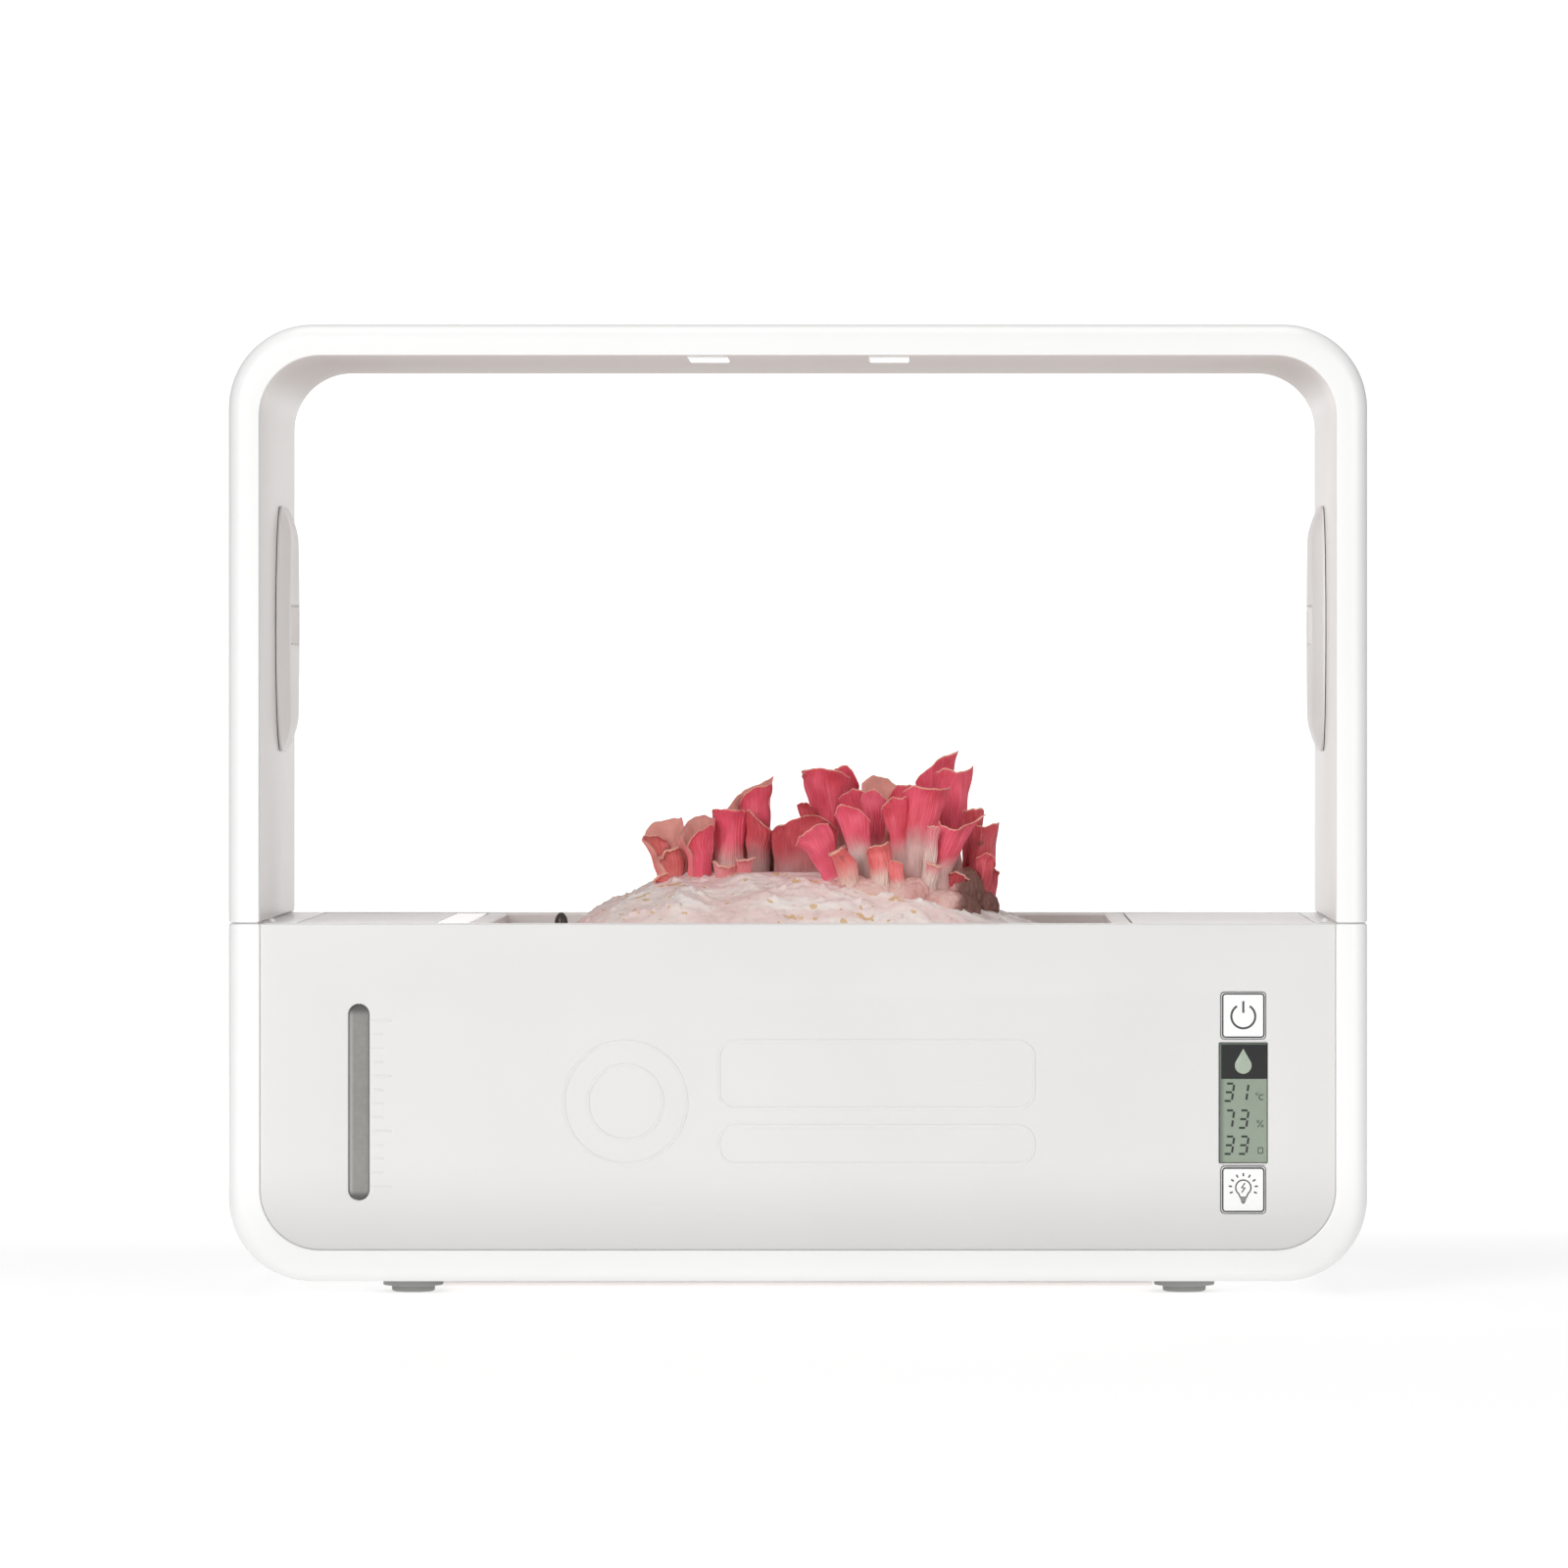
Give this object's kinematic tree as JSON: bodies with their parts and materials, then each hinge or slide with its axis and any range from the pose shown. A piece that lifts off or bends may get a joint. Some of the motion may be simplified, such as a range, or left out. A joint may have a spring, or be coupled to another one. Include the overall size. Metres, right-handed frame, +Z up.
{
  "type": "oyster mushroom grow kit",
  "caption": "Desktop grow box with a moulded base, open arched hood, control keys and display, and pink oyster mushrooms on a mounded block in its tray.",
  "frame": {"origin": "middle of the footprint, at the height of the surface that the feet rest on", "axes": "+X to the right as seen from the front, +Y to the back, +Z up"},
  "size_m": [0.42, 0.19, 0.358],
  "materials": {
    "rim_white": "satin moulded",
    "panel_satin": "fine satin",
    "cover_grey": "satin moulded",
    "strip_grey": "satin moulded",
    "foot_rubber": "matt",
    "lens_white": "diffusing",
    "key_white": "smooth with printed symbol",
    "display_glass": "reflective segment display",
    "level_glass": "smoked clear",
    "dark_plastic": "satin",
    "substrate": "mycelium under wrinkled film",
    "stem_tissue": "pale fibrous tissue",
    "cap_tissue": "soft tissue with fine gills"
  },
  "bodies": {
    "root": {"base_shell": "rim_white", "hood": "rim_white", "front_panel": "panel_satin", "back_panel": "panel_satin", "bottom_plate": "strip_grey", "foot_1": "foot_rubber", "foot_2": "foot_rubber", "foot_3": "foot_rubber", "foot_4": "foot_rubber", "side_cover_left": "cover_grey", "side_cover_right": "cover_grey", "light_lens_left": "lens_white", "light_lens_right": "lens_white", "hood_pin_left": "rim_white", "hood_pin_right": "rim_white", "water_tank": "cover_grey", "tank_lid": "cover_grey", "deck_strip": "strip_grey", "control_cover": "cover_grey", "level_window": "level_glass", "power_key": "key_white", "light_key": "key_white", "display": "display_glass", "power_inlet": "dark_plastic", "grow_tray": "cover_grey", "moisture_probe": "dark_plastic", "substrate_block": "substrate", "cluster_base_left": "stem_tissue", "cluster_base_right": "stem_tissue", "mushroom_left_1": "cap_tissue", "mushroom_left_2": "cap_tissue", "mushroom_left_3": "cap_tissue", "mushroom_left_4": "cap_tissue", "mushroom_left_5": "cap_tissue", "mushroom_left_6": "cap_tissue", "mushroom_left_7": "cap_tissue", "mushroom_left_8": "cap_tissue", "mushroom_left_9": "cap_tissue", "mushroom_right_1": "cap_tissue", "mushroom_right_2": "cap_tissue", "mushroom_right_3": "cap_tissue", "mushroom_right_4": "cap_tissue", "mushroom_right_5": "cap_tissue", "mushroom_right_6": "cap_tissue", "mushroom_right_7": "cap_tissue", "mushroom_right_8": "cap_tissue", "mushroom_right_9": "cap_tissue", "mushroom_right_10": "cap_tissue", "mushroom_right_11": "cap_tissue", "mushroom_right_12": "cap_tissue", "mushroom_right_13": "cap_tissue", "mushroom_right_14": "cap_tissue", "mushroom_right_15": "cap_tissue", "mushroom_right_16": "cap_tissue", "mushroom_right_17": "cap_tissue", "mushroom_right_18": "cap_tissue", "mushroom_right_19": "cap_tissue", "mushroom_right_20": "cap_tissue"}
  },
  "joints": []
}
